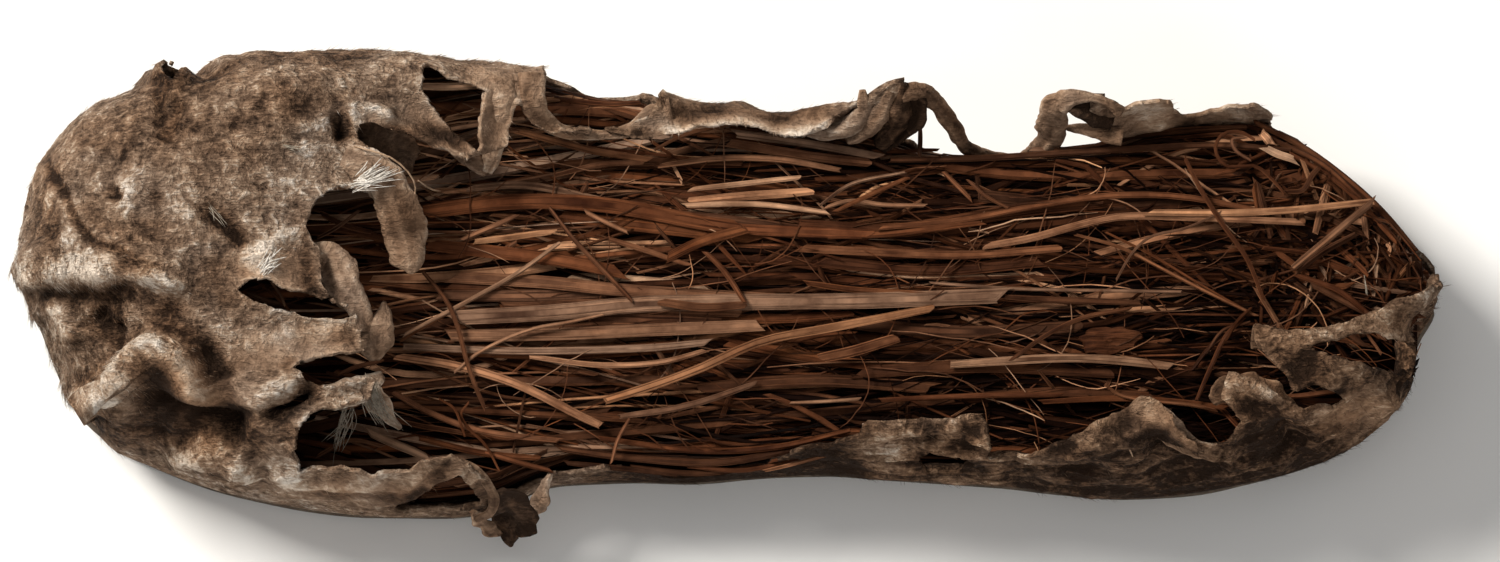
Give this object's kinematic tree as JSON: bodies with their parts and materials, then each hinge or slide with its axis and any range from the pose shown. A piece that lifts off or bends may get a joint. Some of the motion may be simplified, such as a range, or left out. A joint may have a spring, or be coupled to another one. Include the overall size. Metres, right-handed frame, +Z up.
{
  "type": "hide shoe",
  "caption": "Low open shoe of hair-on hide: torn upper with cut lacing slots and loops, flat hide sole, and a thick insole bed of dry grass stalks laid lengthwise.",
  "frame": {"origin": "on the floor, under the middle of the shoe's length and width", "axes": "+X from the toe to the heel, +Y to the inner side of the foot, +Z up"},
  "size_m": [0.2803, 0.0947, 0.0485],
  "materials": {
    "upper_hide": "matte, short-haired, mottled grey-brown",
    "sole_hide": "matte, worn",
    "grass": "matte dry plant stems",
    "stalk": "satin dry plant stems"
  },
  "bodies": {
    "root": {"hide_sole": "sole_hide", "hide_upper": "upper_hide", "grass_bed": "grass", "stalk_01": "stalk", "stalk_02": "stalk", "stalk_03": "stalk", "stalk_04": "stalk", "stalk_05": "stalk", "stalk_06": "stalk", "stalk_07": "stalk", "stalk_08": "stalk", "stalk_09": "stalk", "stalk_10": "stalk", "stalk_11": "stalk", "stalk_12": "stalk", "stalk_13": "stalk", "stalk_14": "stalk"}
  },
  "joints": []
}
